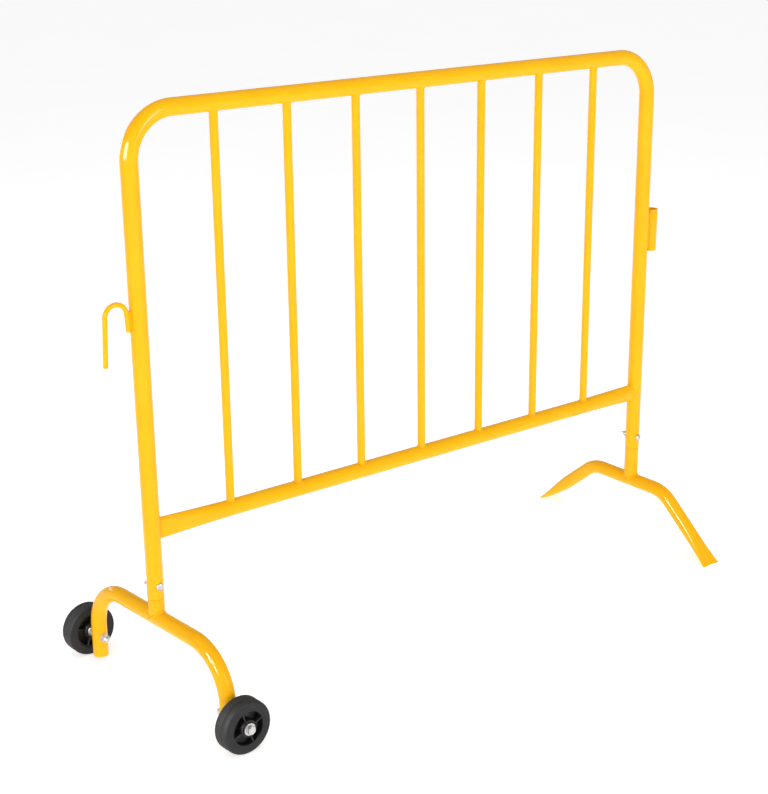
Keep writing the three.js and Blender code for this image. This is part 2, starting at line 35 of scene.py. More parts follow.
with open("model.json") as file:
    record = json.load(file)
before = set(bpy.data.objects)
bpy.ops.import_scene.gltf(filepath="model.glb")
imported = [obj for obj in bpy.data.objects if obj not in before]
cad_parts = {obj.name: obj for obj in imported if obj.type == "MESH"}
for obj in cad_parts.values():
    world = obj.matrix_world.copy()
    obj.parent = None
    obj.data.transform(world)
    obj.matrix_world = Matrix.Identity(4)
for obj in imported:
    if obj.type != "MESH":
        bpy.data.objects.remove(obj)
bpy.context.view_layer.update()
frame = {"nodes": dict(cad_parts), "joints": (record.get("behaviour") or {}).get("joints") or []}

MM = 0.001
X = Vector((1, 0, 0))
Y = Vector((0, 1, 0))
Z = Vector((0, 0, 1))

# Camera, at the photograph's viewing angle.
CAMERA_PLACE = (-1.8754, -2.3340, 1.4707)
CAMERA_AZIMUTH = -37.602
CAMERA_ELEVATION = 18.509
CAMERA_ROLL = -0.630
CAMERA_LENS = 70.70

# Finish of the meshes.
TUBE_SIDES = 56
ROD_SIDES = 32
WHEEL_SIDES = 144
BEND_STEPS = 28
FRAME_WALL = 1.6 * MM
FOOT_WALL = 1.4 * MM
PICKET_WALL = 1.2 * MM
LIP = 0.35 * MM
STUB_SEAM = 0.5 * MM
SHARP_ANGLE = 32

# Bends of the tubes.
HOOP_BEND = 87 * MM
WHEEL_ARCH_BEND = 95 * MM
PLAIN_ARCH_BEND = 78 * MM
PLAIN_CORNER_REACH = 109 * MM
PLAIN_ARCH_Z = 129.5 * MM
PLAIN_ARCH_SHIFT = 8 * MM
PLAIN_SLOPES = {-1: math.radians(40.5), 1: math.radians(39)}
FLAT_LENGTH = 105 * MM
WHEEL_LEG_REACH = 213.5 * MM
# Squashed ends of the bottom rail.
RAIL_HOOK_END_HEIGHT = 44.5 * MM
RAIL_SOCKET_END_HEIGHT = 39 * MM
RAIL_SQUASH_LENGTH = 170 * MM
RAIL_SQUASH_POWER = 1.3
THINNING_PER_GROWTH = 1.27

# Hook.
HOOK_LONG_LEAN = math.radians(3)
HOOK_SHORT_LEAN = math.radians(3.4)
HOOK_SHORT_LENGTH = 53 * MM
HOOK_BEND = 21 * MM
HOOK_WELD_SHARES = (0.06, 0.72)

# Bolts, nuts and wheels.
FOOT_BOLT_RADIUS = 3.1 * MM
FOOT_BOLT_HEAD_HEIGHT = 5 * MM
WING_BORE = 3.3 * MM
WING_NUT_TURNS = {"wheel_foot": -65, "plain_foot": 8}
AXLE = 4.75 * MM
AXLE_HEAD_HEIGHT = 6.4 * MM
SLEEVE_RADIUS = 6.6 * MM
RIB_TURN = 19


# ---- Meshes ---------------------------------------------------------------------------------

def add_skin(mesh, rings, closed=False):
    """Adds a surface through rings of points. A ring of a single point is a pole."""
    made = [[mesh.verts.new(point) for point in ring] for ring in rings]
    pairs = list(zip(made, made[1:]))
    if closed:
        pairs.append((made[-1], made[0]))
    for lower, upper in pairs:
        count = max(len(lower), len(upper))
        for i in range(count):
            j = (i + 1) % count
            corners = [lower[i % len(lower)], lower[j % len(lower)],
                       upper[j % len(upper)], upper[i % len(upper)]]
            mesh.faces.new(list(dict.fromkeys(corners)))


def circle(centre, across, up, radius, sides):
    return [centre + (across * math.cos(a) + up * math.sin(a)) * radius
            for a in (2 * math.pi * i / sides for i in range(sides))]


def rounded(points, steps=5):
    """A line of (across, up, fillet) corners with each corner turned into an arc of that fillet."""
    line = []
    for i, (across, up, fillet) in enumerate(points):
        corner = Vector((across, up))
        if fillet <= 0 or i in (0, len(points) - 1):
            line.append(corner)
            continue
        before = (Vector(points[i - 1][:2]) - corner).normalized()
        after = (Vector(points[i + 1][:2]) - corner).normalized()
        half = before.angle(after) / 2
        reach = fillet / math.tan(half)
        middle = corner + (before + after).normalized() * (fillet / math.sin(half))
        start = corner + before * reach - middle
        sweep = start.angle_signed(corner + after * reach - middle)
        for k in range(steps + 1):
            angle = -sweep * k / steps
            turned = Vector((start.x * math.cos(angle) - start.y * math.sin(angle),
                             start.x * math.sin(angle) + start.y * math.cos(angle)))
            line.append(middle + turned)
    return line


def add_turned(mesh, profile, sides, closed=False, place=None):
    """Adds a solid turned about Z. The profile is a list of (radius, height)."""
    place = place or Matrix.Identity(4)
    rings = []
    for radius, height in profile:
        if radius < 1e-7:
            rings.append([place @ Vector((0, 0, height))])
        else:
            rings.append([place @ point for point in circle(Z * height, X, Y, radius, sides)])
    add_skin(mesh, rings, closed)


def bent_path(corners, bend, steps=BEND_STEPS):
    """Points with tangents along a line through the corners, each rounded to the bend radius."""
    stations = [(corners[0], (corners[1] - corners[0]).normalized())]
    for before, corner, after in zip(corners, corners[1:], corners[2:]):
        incoming = (corner - before).normalized()
        outgoing = (after - corner).normalized()
        turn = incoming.angle(outgoing)
        axis = incoming.cross(outgoing).normalized()
        inward = axis.cross(incoming)
        centre = corner - incoming * (bend * math.tan(turn / 2)) + inward * bend
        for k in range(steps + 1):
            twist = Matrix.Rotation(turn * k / steps, 3, axis)
            stations.append((centre - (twist @ inward) * bend, twist @ incoming))
    stations.append((corners[-1], (corners[-1] - corners[-2]).normalized()))
    return stations


def add_tube(mesh, stations, normal, radius, wall, sides=TUBE_SIDES, reshape=None):
    """Adds an open-ended tube with rounded lips along stations that lie in the plane of the normal."""
    (first, start_way), (last, end_way) = stations[0], stations[-1]
    bore = radius - wall

    def walk(points, sign):
        start = [(first + start_way * LIP * (1 - math.sin(a)), start_way, sign * LIP * (math.cos(a) - 1))
                 for a in (math.radians(90), math.radians(45), 0)]
        end = [(last - end_way * LIP * (1 - math.sin(a)), end_way, sign * LIP * (math.cos(a) - 1))
               for a in (0, math.radians(45), math.radians(90))]
        return start + [(point, way, 0) for point, way in points[1:-1]] + end

    rings = []
    for base, sign, backwards in ((radius, 1, False), (bore, -1, True)):
        path = walk(stations, sign)
        for point, way, change in (reversed(path) if backwards else path):
            ring = circle(point, normal, way.cross(normal), base + change, sides)
            rings.append([reshape(p, backwards) for p in ring] if reshape else ring)
    add_skin(mesh, rings, closed=True)


def cope(height, main_radius, y):
    """Height of a tube's end at y, where it stands on a main tube that runs along X."""
    return height + math.copysign(math.sqrt(max(main_radius ** 2 - y ** 2, 0)), -height if height else 1)


def add_coped_tube(mesh, length, radius, wall, main_radius, place, flat_top=False, sides=ROD_SIDES):
    """Adds a tube along Z whose ends are shaped to main tubes along X, at Z = 0 and at Z = length."""
    rings = []
    for r, ends in ((radius, (0, length)), (radius - wall, (length, 0))):
        for height in ends:
            flat = flat_top and height == length
            rings.append([place @ Vector((p.x, p.y, height if flat else cope(height, main_radius, p.y)))
                          for p in circle(Vector(), X, Y, r, sides)])
    add_skin(mesh, rings, closed=True)


def crease(radius, main_radius, place, steps=96):
    """The line where a tube along Z meets a main tube along X, as points with outward directions."""
    line = []
    for i in range(steps):
        a = 2 * math.pi * i / steps
        y = radius * math.sin(a)
        height = math.sqrt(max(main_radius ** 2 - y ** 2, 0))
        on_branch = Vector((math.cos(a), math.sin(a), 0))
        on_main = Vector((0, y, height)) / main_radius
        point = Vector((radius * math.cos(a), y, height))
        line.append((place @ point, place.to_3x3() @ (on_branch + on_main).normalized()))
    return line


def add_bead(mesh, line, radius, closed=True, seed=0.0, ripple=0.12, sides=10):
    """Adds a weld bead along a line of (point, outward direction). Its thickness ripples."""
    count = len(line)
    rings = []
    travelled = 0.0
    for i, (point, outward) in enumerate(line):
        ahead = line[(i + 1) % count][0] if closed or i < count - 1 else point
        behind = line[i - 1][0] if closed or i else point
        way = (ahead - behind).normalized()
        side = way.cross(outward).normalized()
        travelled += (point - behind).length
        wave = math.sin(2 * math.pi * travelled / (2.3 * MM) + seed)
        lump = noise.noise(Vector((travelled / (7 * MM), seed, 0)))
        size = radius * (1 + ripple * wave + 2 * ripple * lump)
        if not closed:
            share = i / (count - 1)
            size *= max(math.sin(math.pi * min(share, 1 - share, 0.12) / 0.24), 0.02)
        rings.append(circle(point - outward * radius * 0.25, outward, side, size, sides))
    if not closed:
        rings = [[line[0][0]]] + rings + [[line[-1][0]]]
    add_skin(mesh, rings, closed)


def hexagon_radius(angle, across_flats):
    return across_flats / 2 / math.cos((angle + math.pi / 6) % (math.pi / 3) - math.pi / 6)


def add_hexagon(mesh, across_flats, low, high, bore, chamfer_low, chamfer_high, sides=72):
    """Adds a hexagonal solid along Z with chamfered corners and, if bore isn't zero, a hole."""
    lead = across_flats / 2 * 0.96

    def outline(level, chamfer, inward):
        ring = []
        for i in range(sides):
            a = 2 * math.pi * i / sides
            r = hexagon_radius(a, across_flats)
            drop = (r - lead) * math.tan(math.radians(30)) if chamfer else 0
            ring.append(Vector((r * math.cos(a), r * math.sin(a), level - inward * drop)))
        return ring

    rings = [circle(Z * low, X, Y, lead, sides), outline(low, chamfer_low, -1),
             outline(high, chamfer_high, 1), circle(Z * high, X, Y, lead, sides)]
    if bore:
        mouth = bore + 0.5 * MM
        lower = [circle(Z * (low + 0.5 * MM), X, Y, bore, sides), circle(Z * low, X, Y, mouth, sides)]
        upper = [circle(Z * high, X, Y, mouth, sides), circle(Z * (high - 0.5 * MM), X, Y, bore, sides)]
        rings = lower + rings + upper
        add_skin(mesh, rings, closed=True)
    else:
        dish = circle(Z * (high - 0.25 * MM), X, Y, lead * 0.86, sides)
        rim = circle(Z * high, X, Y, lead * 0.92, sides)
        add_skin(mesh, [[Z * low]] + rings + [rim, dish, [Z * (high - 0.25 * MM)]])


def add_thread(mesh, radius, depth, pitch, low, high, sides=28, steps=8):
    """Adds a threaded rod along Z, from a flat end at low to a chamfered end at high."""
    count = max(int((high - low) / pitch * steps), 2)
    rings = [[Z * low]]
    for k in range(count + 1):
        height = low + (high - low) * k / count
        ease = min((high - height) / pitch, 1)
        ring = []
        for i in range(sides):
            a = 2 * math.pi * i / sides
            phase = (height / pitch - i / sides) % 1
            cut = depth * (1 - abs(2 * phase - 1)) + (1 - ease) * depth
            r = radius - min(cut, depth * 1.2)
            ring.append(Vector((r * math.cos(a), r * math.sin(a), height)))
        rings.append(ring)
    rings.append([Z * high])
    add_skin(mesh, rings)


def show(mesh, name, material, body, place=None, nodes=(), sharp=SHARP_ANGLE):
    """Turns a mesh into a finished piece that moves with its body and replaces the CAD nodes named."""
    if place is not None:
        bmesh.ops.transform(mesh, matrix=place, verts=mesh.verts)
    bmesh.ops.recalc_face_normals(mesh, faces=mesh.faces)
    data = bpy.data.meshes.new(name)
    mesh.to_mesh(data)
    mesh.free()
    data.shade_smooth()
    data.set_sharp_from_angle(angle=math.radians(sharp))
    data.materials.append(material)
    piece = bpy.data.objects.new(name, data)
    bpy.context.scene.collection.objects.link(piece)
    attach(piece, body)
    if nodes:
        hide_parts(*nodes)
    return piece


def applied(piece, kind, **settings):
    """Adds a modifier to a piece and applies it."""
    modifier = piece.modifiers.new(kind.lower(), kind)
    for key, value in settings.items():
        setattr(modifier, key, value)
    graph = bpy.context.evaluated_depsgraph_get()
    data = bpy.data.meshes.new_from_object(piece.evaluated_get(graph), depsgraph=graph)
    piece.modifiers.remove(modifier)
    data.name = piece.name
    old = piece.data
    piece.data = data
    bpy.data.meshes.remove(old)
    return piece


# ---- Materials ------------------------------------------------------------------------------

class Nodes:
    """A material's node tree, with a short way to add and join nodes."""

    def __init__(self, name):
        self.material = bpy.data.materials.new(name)
        self.material.use_nodes = True
        self.tree = self.material.node_tree
        self.shader = self.tree.nodes["Principled BSDF"]
        self.place = self.add("ShaderNodeTexCoord").outputs["Object"]

    def add(self, kind, **inputs):
        node = self.tree.nodes.new(kind)
        for key, value in inputs.items():
            self.put(node.inputs[key.replace("_", " ")], value)
        return node

    def put(self, socket, value):
        if isinstance(value, bpy.types.NodeSocket):
            self.tree.links.new(value, socket)
        else:
            socket.default_value = value

    def noise(self, scale, detail=3.0, roughness=0.5, vector=None):
        node = self.add("ShaderNodeTexNoise", Vector=vector or self.place, Scale=scale, Detail=detail,
                        Roughness=roughness)
        return node.outputs["Fac"]

    def stretched(self, scale):
        node = self.add("ShaderNodeMapping", Vector=self.place, Scale=scale)
        return node.outputs["Vector"]

    def ramp(self, value, low, high, to_low=0.0, to_high=1.0):
        node = self.add("ShaderNodeMapRange", Value=value)
        for key, number in (("From Min", low), ("From Max", high), ("To Min", to_low), ("To Max", to_high)):
            node.inputs[key].default_value = number
        return node.outputs["Result"]

    def mix(self, factor, first, second):
        node = self.add("ShaderNodeMix")
        node.data_type = "RGBA"
        self.put(node.inputs["Factor"], factor)
        colours = [socket for socket in node.inputs if socket.type == "RGBA"]
        self.put(colours[0], first)
        self.put(colours[1], second)
        return next(socket for socket in node.outputs if socket.type == "RGBA")

    def bump(self, height, strength, distance, below=None):
        node = self.add("ShaderNodeBump", Height=height, Strength=strength, Distance=distance)
        if below is not None:
            self.put(node.inputs["Normal"], below)
        return node.outputs["Normal"]

    def finish(self, **inputs):
        for key, value in inputs.items():
            self.put(self.shader.inputs[key.replace("_", " ")], value)
        return self.material


def powder_coat():
    """Glossy yellow powder coat: fine orange peel, slight colour drift and a few dust nibs."""
    nodes = Nodes("yellow_powder_coat")
    drift = nodes.ramp(nodes.noise(9, 2), 0.35, 0.65)
    cloud = nodes.ramp(nodes.noise(60, 4), 0.3, 0.7, 0.0, 0.35)
    colour = nodes.mix(drift, (0.98, 0.475, 0.004, 1), (1.0, 0.505, 0.006, 1))
    colour = nodes.mix(cloud, colour, (0.96, 0.45, 0.004, 1))
    peel = nodes.bump(nodes.noise(420, 2, 0.4), 0.10, 0.0004)
    nib = nodes.ramp(nodes.noise(900, 1), 0.70, 0.80)
    normal = nodes.bump(nib, 0.12, 0.0002, peel)
    rough = nodes.ramp(nodes.noise(150, 3), 0.3, 0.7, 0.07, 0.13)
    return nodes.finish(Base_Color=colour, Roughness=rough, Normal=normal, Specular_IOR_Level=0.17)


def zinc():
    """Bright zinc plate: silver with faint blue and warm clouds and fine rolling marks."""
    nodes = Nodes("bright_zinc")
    cloud = nodes.ramp(nodes.noise(260, 3), 0.35, 0.65)
    colour = nodes.mix(cloud, (0.56, 0.575, 0.59, 1), (0.66, 0.645, 0.61, 1))
    grain = nodes.noise(1, 4, 0.6, nodes.stretched((900, 900, 2600)))
    rough = nodes.ramp(nodes.noise(700, 3), 0.3, 0.7, 0.28, 0.42)
    normal = nodes.bump(grain, 0.06, 0.0001)
    return nodes.finish(Base_Color=colour, Metallic=1.0, Roughness=rough, Normal=normal)


def rubber():
    """Dark grey moulded rubber with a fine pebble and a trace of dust."""
    nodes = Nodes("moulded_rubber")
    dust = nodes.ramp(nodes.noise(90, 5, 0.6), 0.45, 0.75, 0.0, 0.5)
    colour = nodes.mix(dust, (0.017, 0.017, 0.0185, 1), (0.030, 0.029, 0.028, 1))
    pebble = nodes.bump(nodes.noise(1400, 3, 0.6), 0.25, 0.0002)
    normal = nodes.bump(nodes.noise(260, 2), 0.12, 0.0004, pebble)
    rough = nodes.ramp(nodes.noise(200, 3), 0.3, 0.7, 0.60, 0.75)
    return nodes.finish(Base_Color=colour, Roughness=rough, Normal=normal, Specular_IOR_Level=0.3)


def plastic():
    """Black moulded plastic with flow marks."""
    nodes = Nodes("black_moulded_plastic")
    flow = nodes.ramp(nodes.noise(120, 4, 0.6), 0.4, 0.7)
    colour = nodes.mix(flow, (0.004, 0.004, 0.0043, 1), (0.008, 0.008, 0.0083, 1))
    normal = nodes.bump(nodes.noise(1100, 2), 0.12, 0.0002)
    rough = nodes.ramp(nodes.noise(300, 3), 0.3, 0.7, 0.36, 0.50)
    return nodes.finish(Base_Color=colour, Roughness=rough, Normal=normal)


def pale_floor():
    nodes = Nodes("pale_floor")
    shade = nodes.ramp(nodes.noise(1.5, 3), 0.3, 0.7)
    colour = nodes.mix(shade, (0.86, 0.86, 0.86, 1), (0.88, 0.88, 0.88, 1))
    return nodes.finish(Base_Color=colour, Roughness=0.9, Specular_IOR_Level=0.1,
                        Emission_Color=(1, 1, 1, 1), Emission_Strength=0.55)


YELLOW = powder_coat()
ZINC = zinc()
RUBBER = rubber()
PLASTIC = plastic()


def yellow_piece(mesh, name, place=None, nodes=()):
    return show(mesh, name, YELLOW, "barrier", place, nodes)


def zinc_piece(mesh, name, body, place=None, nodes=(), sharp=SHARP_ANGLE):
    return show(mesh, name, ZINC, body, place, nodes, sharp)


# ---- Places taken from the CAD model --------------------------------------------------------

def middle(node):
    low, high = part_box(node)
    return (low + high) / 2


def radius_of(node, axis):
    low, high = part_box(node)
    return (high[axis] - low[axis]) / 2


hoop_low, hoop_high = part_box("frame_hoop")
FRAME_RADIUS = radius_of("frame_hoop", 1)
LEFT_X = hoop_low.x + FRAME_RADIUS
RIGHT_X = hoop_high.x - FRAME_RADIUS
TOP_Z = hoop_high.z - FRAME_RADIUS
UPRIGHT_END_Z = hoop_low.z
RAIL_Z = middle("bottom_rail").z
PICKETS = [node for node in frame["nodes"] if node.startswith("picket_")]
PICKET_RADIUS = radius_of("picket_1", 0)
FOOT_RADIUS = radius_of("plain_foot_stub", 0)
TIP_HALF_WIDTH = radius_of("plain_foot_arch", 0)
JOINTS = {joint["name"]: joint for joint in frame["joints"]}
WHEEL_AXIS = Vector(JOINTS["back_wheel_spin"]["axis"])
WHEEL_FOOT_TURN = math.atan2(-WHEEL_AXIS.x, WHEEL_AXIS.y)
WHEEL_FOOT = Matrix.Translation((LEFT_X, 0, 0)) @ Matrix.Rotation(WHEEL_FOOT_TURN, 4, "Z")
PLAIN_FOOT = Matrix.Translation((RIGHT_X, 0, 0))
WHEEL_ARCH_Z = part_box("wheel_foot_arch")[1].z - FOOT_RADIUS
WHEEL_LEG_END_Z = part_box("wheel_foot_arch")[0].z
WHEEL_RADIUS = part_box("front_wheel_tyre")[1].z / 2
HEX = radius_of("front_wheel_lock_nut", 2) * 2
FACING_BACK = Matrix.Rotation(-math.pi / 2, 4, "X")


# ---- Panel ----------------------------------------------------------------------------------

def make_hoop():
    corners = [Vector((LEFT_X, 0, UPRIGHT_END_Z)), Vector((LEFT_X, 0, TOP_Z)),
               Vector((RIGHT_X, 0, TOP_Z)), Vector((RIGHT_X, 0, UPRIGHT_END_Z))]
    mesh = bmesh.new()
    add_tube(mesh, bent_path(corners, HOOP_BEND), Y, FRAME_RADIUS, FRAME_WALL)
    yellow_piece(mesh, "hoop_tube", nodes=["frame_hoop"])


def squashed(x, flat, radius):
    """A point of the bottom rail's tube at x, squashed taller and thinner near the uprights."""
    from_end = min(x - LEFT_X, RIGHT_X - x)
    end_height = RAIL_HOOK_END_HEIGHT if x < 0 else RAIL_SOCKET_END_HEIGHT
    amount = max(1 - from_end / RAIL_SQUASH_LENGTH, 0) ** RAIL_SQUASH_POWER
    growth = (end_height / 2 - FRAME_RADIUS) * amount / radius
    return Vector((x, flat.y * (1 - THINNING_PER_GROWTH * growth), RAIL_Z + flat.z * (1 + growth)))


def rail_end(upright_x, side, radius, sides):
    """The ring where the rail's tube meets an upright. The side is 1 at the left end and -1 at the right."""
    ring = []
    for flat in circle(Vector(), Y, Z, radius, sides):
        point = squashed(upright_x + side * FRAME_RADIUS, flat, radius)
        point.x = upright_x + side * math.sqrt(FRAME_RADIUS ** 2 - point.y ** 2)
        ring.append(point)
    return ring


def make_bottom_rail():
    start = FRAME_RADIUS + 4 * MM
    steps = [start + (RAIL_SQUASH_LENGTH - start) * i / 24 for i in range(25)]
    stations = [LEFT_X + step for step in steps] + [RIGHT_X - step for step in reversed(steps)]
    walls = []
    for radius in (FRAME_RADIUS, FRAME_RADIUS - FRAME_WALL):
        wall = [rail_end(LEFT_X, 1, radius, TUBE_SIDES)]
        wall += [[squashed(x, flat, radius) for flat in circle(Vector(), Y, Z, radius, TUBE_SIDES)]
                 for x in stations]
        wall.append(rail_end(RIGHT_X, -1, radius, TUBE_SIDES))
        walls.append(wall)
    mesh = bmesh.new()
    add_skin(mesh, walls[0] + walls[1][::-1], closed=True)
    yellow_piece(mesh, "bottom_rail_tube", nodes=["bottom_rail"])
    for end, upright_x, side in (("left", LEFT_X, 1), ("right", RIGHT_X, -1)):
        line = []
        for point in rail_end(upright_x, side, FRAME_RADIUS, 160):
            on_rail = Vector((0, point.y, point.z - RAIL_Z)).normalized()
            on_upright = Vector((point.x - upright_x, point.y, 0)).normalized()
            line.append((point, (on_rail + on_upright).normalized()))
        mesh = bmesh.new()
        add_bead(mesh, line, 1.8 * MM, seed=3.0)
        yellow_piece(mesh, f"bottom_rail_weld_{end}")


def make_pickets():
    height = TOP_Z - RAIL_Z
    for number, node in enumerate(sorted(PICKETS)):
        foot = Matrix.Translation((middle(node).x, 0, RAIL_Z))
        head = Matrix.Translation((middle(node).x, 0, TOP_Z)) @ Matrix.Rotation(math.pi, 4, "X")
        mesh = bmesh.new()
        add_coped_tube(mesh, height, PICKET_RADIUS, PICKET_WALL, FRAME_RADIUS, foot)
        yellow_piece(mesh, f"{node}_tube", nodes=[node])
        for end, place in (("foot", foot), ("head", head)):
            mesh = bmesh.new()
            add_bead(mesh, crease(PICKET_RADIUS, FRAME_RADIUS, place), 1.5 * MM, seed=number * 1.7)
            yellow_piece(mesh, f"{node}_weld_{end}")


def make_hook():
    """A bent rod with softened ends, welded to the upright near the top of its short leg."""
    low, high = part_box("coupling_hook")
    radius = radius_of("coupling_hook", 1)
    top_z = high.z - radius
    short_z = top_z - HOOK_SHORT_LENGTH
    long_end = Vector((low.x + radius, 0, low.z))
    short_end = Vector((high.x - radius, 0, short_z))
    long_top = long_end + Vector(((top_z - low.z) * math.tan(HOOK_LONG_LEAN), 0, top_z - low.z))
    short_top = short_end + Vector((-HOOK_SHORT_LENGTH * math.tan(HOOK_SHORT_LEAN), 0, HOOK_SHORT_LENGTH))
    path = bent_path([long_end, long_top, short_top, short_end], HOOK_BEND)
    edge = 1.2 * MM

    def cap(point, way, inward):
        """Rings of a softened end, from its middle outwards. Inward is 1 where way points into the rod."""
        return [circle(point + way * inward * edge * (1 - math.sin(a)), Y, way.cross(Y),
                       radius - edge + edge * math.cos(a), ROD_SIDES)
                for a in (math.radians(d) for d in (75, 50, 25, 0))]

    (first, start_way), (last, end_way) = path[0], path[-1]
    rings = [[first]] + cap(first, start_way, 1)
    rings += [circle(point, Y, way.cross(Y), radius, ROD_SIDES) for point, way in path[1:-1]]
    rings += cap(last, end_way, -1)[::-1] + [[last]]
    mesh = bmesh.new()
    add_skin(mesh, rings)
    yellow_piece(mesh, "hook_rod", nodes=["coupling_hook"])
    weld_low, weld_high = (short_end.lerp(short_top, share) for share in HOOK_WELD_SHARES)
    for side, sign in (("front", -1), ("back", 1)):
        line = []
        for i in range(61):
            on_leg = weld_low.lerp(weld_high, i / 60)
            seam_x = (on_leg.x + radius + LEFT_X - FRAME_RADIUS) / 2 - 0.5 * MM
            line.append((Vector((seam_x, sign * 3.2 * MM, on_leg.z)), Vector((-0.35, sign, 0)).normalized()))
        mesh = bmesh.new()
        add_bead(mesh, line, 2.9 * MM, closed=False, seed=5.0 + sign, ripple=0.16)
        yellow_piece(mesh, f"hook_weld_{side}")


def make_socket():
    low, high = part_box("coupling_socket")
    radius = radius_of("coupling_socket", 1)
    centre = middle("coupling_socket")
    ends = [(Vector((centre.x, 0, low.z)), Z), (Vector((centre.x, 0, high.z)), Z)]
    mesh = bmesh.new()
    add_tube(mesh, ends, X, radius, 2 * MM)
    yellow_piece(mesh, "socket_tube", nodes=["coupling_socket"])
    # The bead lies where the two tubes are still closer than its own thickness.
    depth = 6.5 * MM
    seam_x = (low.x + RIGHT_X + FRAME_RADIUS) / 2
    for side, sign in (("front", -1), ("back", 1)):
        start = low.z + 3 * MM
        length = high.z - low.z - 6 * MM
        line = [(Vector((seam_x, sign * depth, start + length * i / 120)), Y * sign) for i in range(121)]
        mesh = bmesh.new()
        add_bead(mesh, line, 2.6 * MM, closed=False, seed=1.0 + sign, ripple=0.08)
        yellow_piece(mesh, f"socket_weld_{side}")


# ---- Feet -----------------------------------------------------------------------------------

def make_stub_and_spigot(foot, place):
    arch_z = WHEEL_ARCH_Z if foot == "wheel_foot" else PLAIN_ARCH_Z
    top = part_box(f"{foot}_stub")[1].z - STUB_SEAM
    # The arch runs along the foot's Y, so the stub's shaped end turns a quarter.
    stand = place @ Matrix.Translation((0, 0, arch_z)) @ Matrix.Rotation(math.pi / 2, 4, "Z")
    mesh = bmesh.new()
    add_coped_tube(mesh, top - arch_z, FOOT_RADIUS, FOOT_WALL, FOOT_RADIUS, stand, flat_top=True,
                   sides=TUBE_SIDES)
    yellow_piece(mesh, f"{foot}_stub_tube", nodes=[f"{foot}_stub"])
    mesh = bmesh.new()
    add_bead(mesh, crease(FOOT_RADIUS, FOOT_RADIUS, stand, 160), 2.9 * MM, seed=2.0, ripple=0.05)
    yellow_piece(mesh, f"{foot}_stub_weld")
    low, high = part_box(f"{foot}_spigot")
    centre = middle(f"{foot}_spigot")
    ends = [(Vector((centre.x, centre.y, low.z)), Z), (Vector((centre.x, centre.y, high.z)), Z)]
    mesh = bmesh.new()
    add_tube(mesh, ends, X, (high.x - low.x) / 2, 1.8 * MM, sides=ROD_SIDES)
    zinc_piece(mesh, f"{foot}_spigot_tube", "barrier", nodes=[f"{foot}_spigot"])


def make_wheel_arch():
    corners = [Vector((0, -WHEEL_LEG_REACH, WHEEL_LEG_END_Z)),
               Vector((0, -WHEEL_LEG_REACH, WHEEL_ARCH_Z)),
               Vector((0, WHEEL_LEG_REACH, WHEEL_ARCH_Z)),
               Vector((0, WHEEL_LEG_REACH, WHEEL_LEG_END_Z))]
    bend_y = WHEEL_LEG_REACH - WHEEL_ARCH_BEND
    bend_z = WHEEL_ARCH_Z - WHEEL_ARCH_BEND

    def reshape(point, inside):
        """The inner side of each bend is slightly wrinkled, as a bending shoe leaves it."""
        from_bend = Vector((abs(point.y) - bend_y, point.z - bend_z))
        if from_bend.x <= 0 or from_bend.y <= 0 or inside:
            return point
        angle = math.atan2(from_bend.y, from_bend.x)
        on_inner = max(WHEEL_ARCH_BEND - from_bend.length, 0) / FOOT_RADIUS
        swell = 0.28 * MM * on_inner ** 3 * math.sin(angle * 34) * math.sin(2 * angle)
        away = from_bend.normalized() * swell
        return Vector((point.x, point.y + math.copysign(away.x, point.y), point.z + away.y))

    mesh = bmesh.new()
    add_tube(mesh, bent_path(corners, WHEEL_ARCH_BEND, 72), X, FOOT_RADIUS, FOOT_WALL, reshape=reshape)
    yellow_piece(mesh, "wheel_foot_arch_tube", WHEEL_FOOT, ["wheel_foot_arch"])


def leg_run(side):
    """How far the tip of the plain foot's leg is from the arch's middle."""
    return PLAIN_CORNER_REACH + PLAIN_ARCH_Z / math.tan(PLAIN_SLOPES[side])


def leg_point(side, from_tip):
    slope = PLAIN_SLOPES[side]
    return Vector((0, PLAIN_ARCH_SHIFT + side * (leg_run(side) - from_tip * math.cos(slope)),
                   from_tip * math.sin(slope)))


def flatten_tip(point, inside):
    """Squashes the end of each leg of the plain foot into its flat, slightly dished tip."""
    side = 1 if point.y > PLAIN_ARCH_SHIFT else -1
    slope = PLAIN_SLOPES[side]
    along = Vector((0, side * math.cos(slope), -math.sin(slope)))
    across = Vector((0, side * math.sin(slope), math.cos(slope)))
    from_tip = point - leg_point(side, 0)
    progress = 1 + from_tip.dot(along) / FLAT_LENGTH
    if progress <= 0:
        return point
    amount = min(progress, 1.0) ** 1.8
    height = from_tip.dot(across)
    base = FOOT_RADIUS - FOOT_WALL if inside else FOOT_RADIUS
    half_width = TIP_HALF_WIDTH - (1.2 * MM if inside else 0)
    half_depth = (0.35 if inside else 1.9) * MM
    wide = point.x / base
    x = point.x * (1 + (half_width / base - 1) * amount)
    flat = math.copysign(half_depth * max(1 - wide ** 6, 0) ** 0.5, height)
    folded = flat * (1 + 0.55 * wide ** 4)
    dish = -2.0 * MM * (1 - wide ** 2)
    moved = height * (1 - amount) + (folded + dish) * amount
    return Vector((x, point.y, point.z)) + across * (moved - height)


